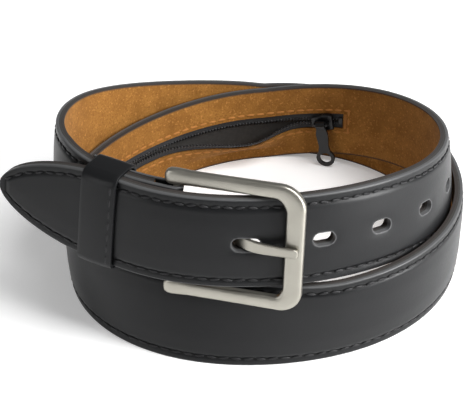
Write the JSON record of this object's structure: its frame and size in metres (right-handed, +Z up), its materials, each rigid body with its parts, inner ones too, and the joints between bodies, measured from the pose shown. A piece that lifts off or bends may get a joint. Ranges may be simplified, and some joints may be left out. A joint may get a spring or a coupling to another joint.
{
  "type": "money belt",
  "caption": "Leather money belt coiled and buckled, with a zipped pocket in its suede lining, a keeper loop and a metal prong buckle.",
  "frame": {"origin": "middle of the bounding box, on the ground that the coiled belt stands on", "axes": "+Z up across the strap's width, +X to the right along the coil's longest side, the buckle faces -Y"},
  "size_m": [0.1832, 0.1554, 0.0781],
  "materials": {
    "black_leather": "smooth, soft sheen",
    "tan_suede": "suede, matte",
    "stiffener": "matte",
    "black_thread": "waxed",
    "zip_tape": "woven, matte",
    "zip_nylon": "satin",
    "black_enamel": "semi-gloss",
    "satin_nickel": "satin"
  },
  "bodies": {
    "belt": {"outer_leather": "black_leather", "core": "stiffener", "lining": "tan_suede", "stitch_row_upper": "black_thread", "stitch_row_lower": "black_thread", "zip_tape_upper": "zip_tape", "zip_tape_lower": "zip_tape", "zip_coil_upper": "zip_nylon", "zip_coil_lower": "zip_nylon", "zip_bottom_stop": "black_enamel", "zip_top_stop_upper": "black_enamel", "zip_top_stop_lower": "black_enamel", "window_thread": "black_thread", "bar_tack_right": "black_thread", "bar_tack_left": "black_thread", "keeper": "black_leather", "keeper_thread": "black_thread", "turnback_thread": "black_thread"},
    "buckle": {"buckle_frame": "satin_nickel", "buckle_bar": "satin_nickel"},
    "prong": {"prong": "satin_nickel"},
    "slider": {"slider_body": "black_enamel", "slider_bridge": "black_enamel"},
    "pull": {"pull_tab": "black_enamel"}
  },
  "joints": [
    {"name": "buckle_hinge", "type": "hinge", "parent": "belt", "child": "buckle", "pos_m": [-0.02354, -0.05867, 0.05418], "axis": [-0.0659, -0.1791, -0.9816], "range_deg": [0, 2.4]},
    {"name": "prong_hinge", "type": "hinge", "parent": "buckle", "child": "prong", "pos_m": [-0.02354, -0.05867, 0.05418], "axis": [-0.0659, -0.1791, -0.9816], "range_deg": [0, 1.2]},
    {"name": "zip_slide", "type": "hinge", "parent": "belt", "child": "slider", "pos_m": [0.02026, -0.01795, 0.02133], "axis": [-0.0744, 0.0572, 0.9956], "range_deg": [0, 101], "deforming": ["lining", "zip_tape_upper", "zip_tape_lower", "zip_coil_upper", "zip_coil_lower", "window_thread"]},
    {"name": "pull_hinge", "type": "hinge", "parent": "slider", "child": "pull", "pos_m": [0.03672, 0.06283, 0.02133], "axis": [-0.9405, 0.291, -0.1755], "range_deg": [0, 150]}
  ]
}
